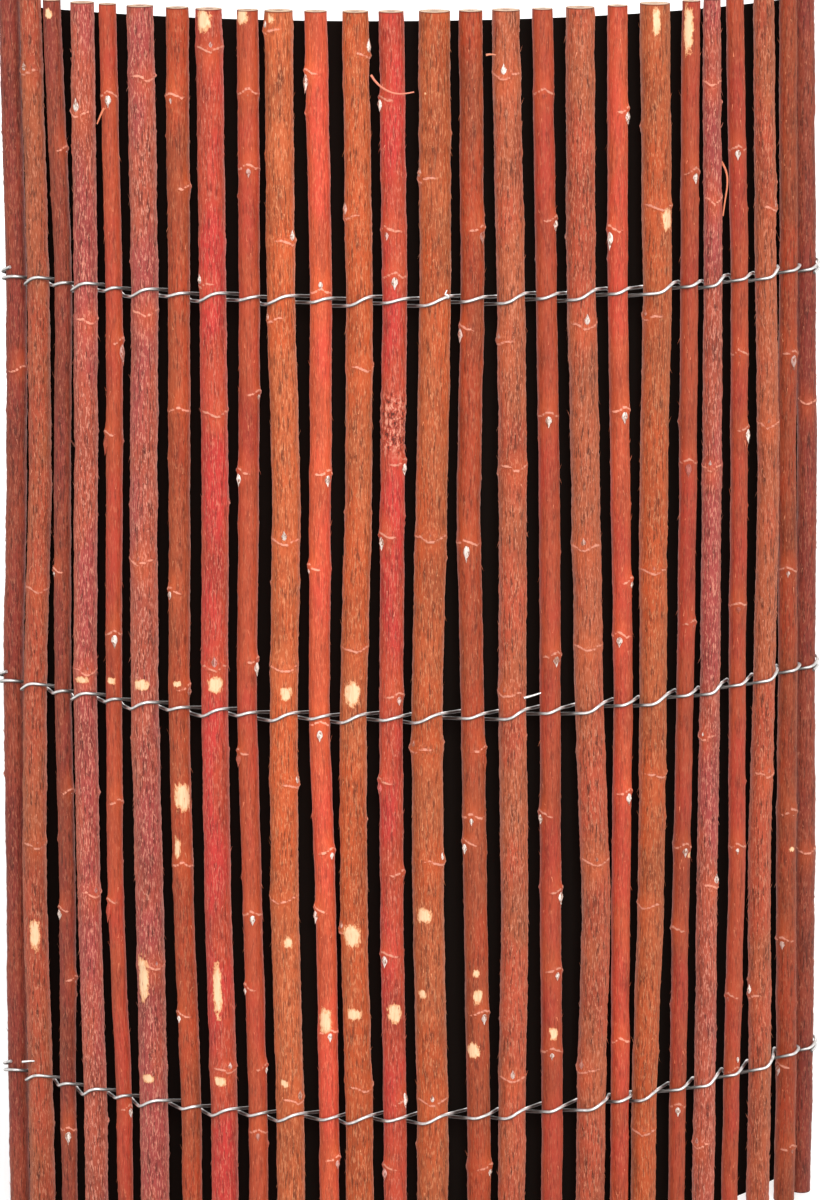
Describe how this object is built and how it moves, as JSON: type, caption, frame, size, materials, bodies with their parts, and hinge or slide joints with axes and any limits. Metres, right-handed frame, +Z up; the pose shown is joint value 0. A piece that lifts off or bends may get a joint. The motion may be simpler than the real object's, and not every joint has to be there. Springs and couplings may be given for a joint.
{
  "type": "willow screening fence panel",
  "caption": "Bowed section of willow screening: upright unpeeled rods side by side, bound by rows of paired galvanised wire, to screen a fence or balcony.",
  "frame": {"origin": "middle of the foot: centre of the bounding box at floor level", "axes": "+Z up along the rods, -Y towards the front, which is the bulging side of the bow, +X to the right as seen from the front"},
  "size_m": [0.2158, 0.057, 0.322],
  "materials": {
    "bark_maroon": "satin",
    "bark_tan": "satin",
    "bark_mauve": "satin",
    "bark_vermilion": "satin",
    "bark_orange": "satin",
    "bark_crimson": "satin",
    "bark_ochre": "satin",
    "galvanised_wire": "satin"
  },
  "bodies": {
    "root": {"rod_01": "bark_maroon", "rod_02": "bark_tan", "rod_03": "bark_maroon", "rod_04": "bark_mauve", "rod_05": "bark_vermilion", "rod_06": "bark_mauve", "rod_07": "bark_orange", "rod_08": "bark_crimson", "rod_09": "bark_vermilion", "rod_10": "bark_ochre", "rod_11": "bark_vermilion", "rod_12": "bark_ochre", "rod_13": "bark_crimson", "rod_14": "bark_ochre", "rod_15": "bark_orange", "rod_16": "bark_tan", "rod_17": "bark_vermilion", "rod_18": "bark_tan", "rod_19": "bark_vermilion", "rod_20": "bark_ochre", "rod_21": "bark_vermilion", "rod_22": "bark_mauve", "rod_23": "bark_vermilion", "rod_24": "bark_tan", "rod_25": "bark_orange", "rod_26": "bark_maroon", "upper_wire_a": "galvanised_wire", "upper_wire_b": "galvanised_wire", "middle_wire_a": "galvanised_wire", "middle_wire_b": "galvanised_wire", "lower_wire_a": "galvanised_wire", "lower_wire_b": "galvanised_wire"}
  },
  "joints": []
}
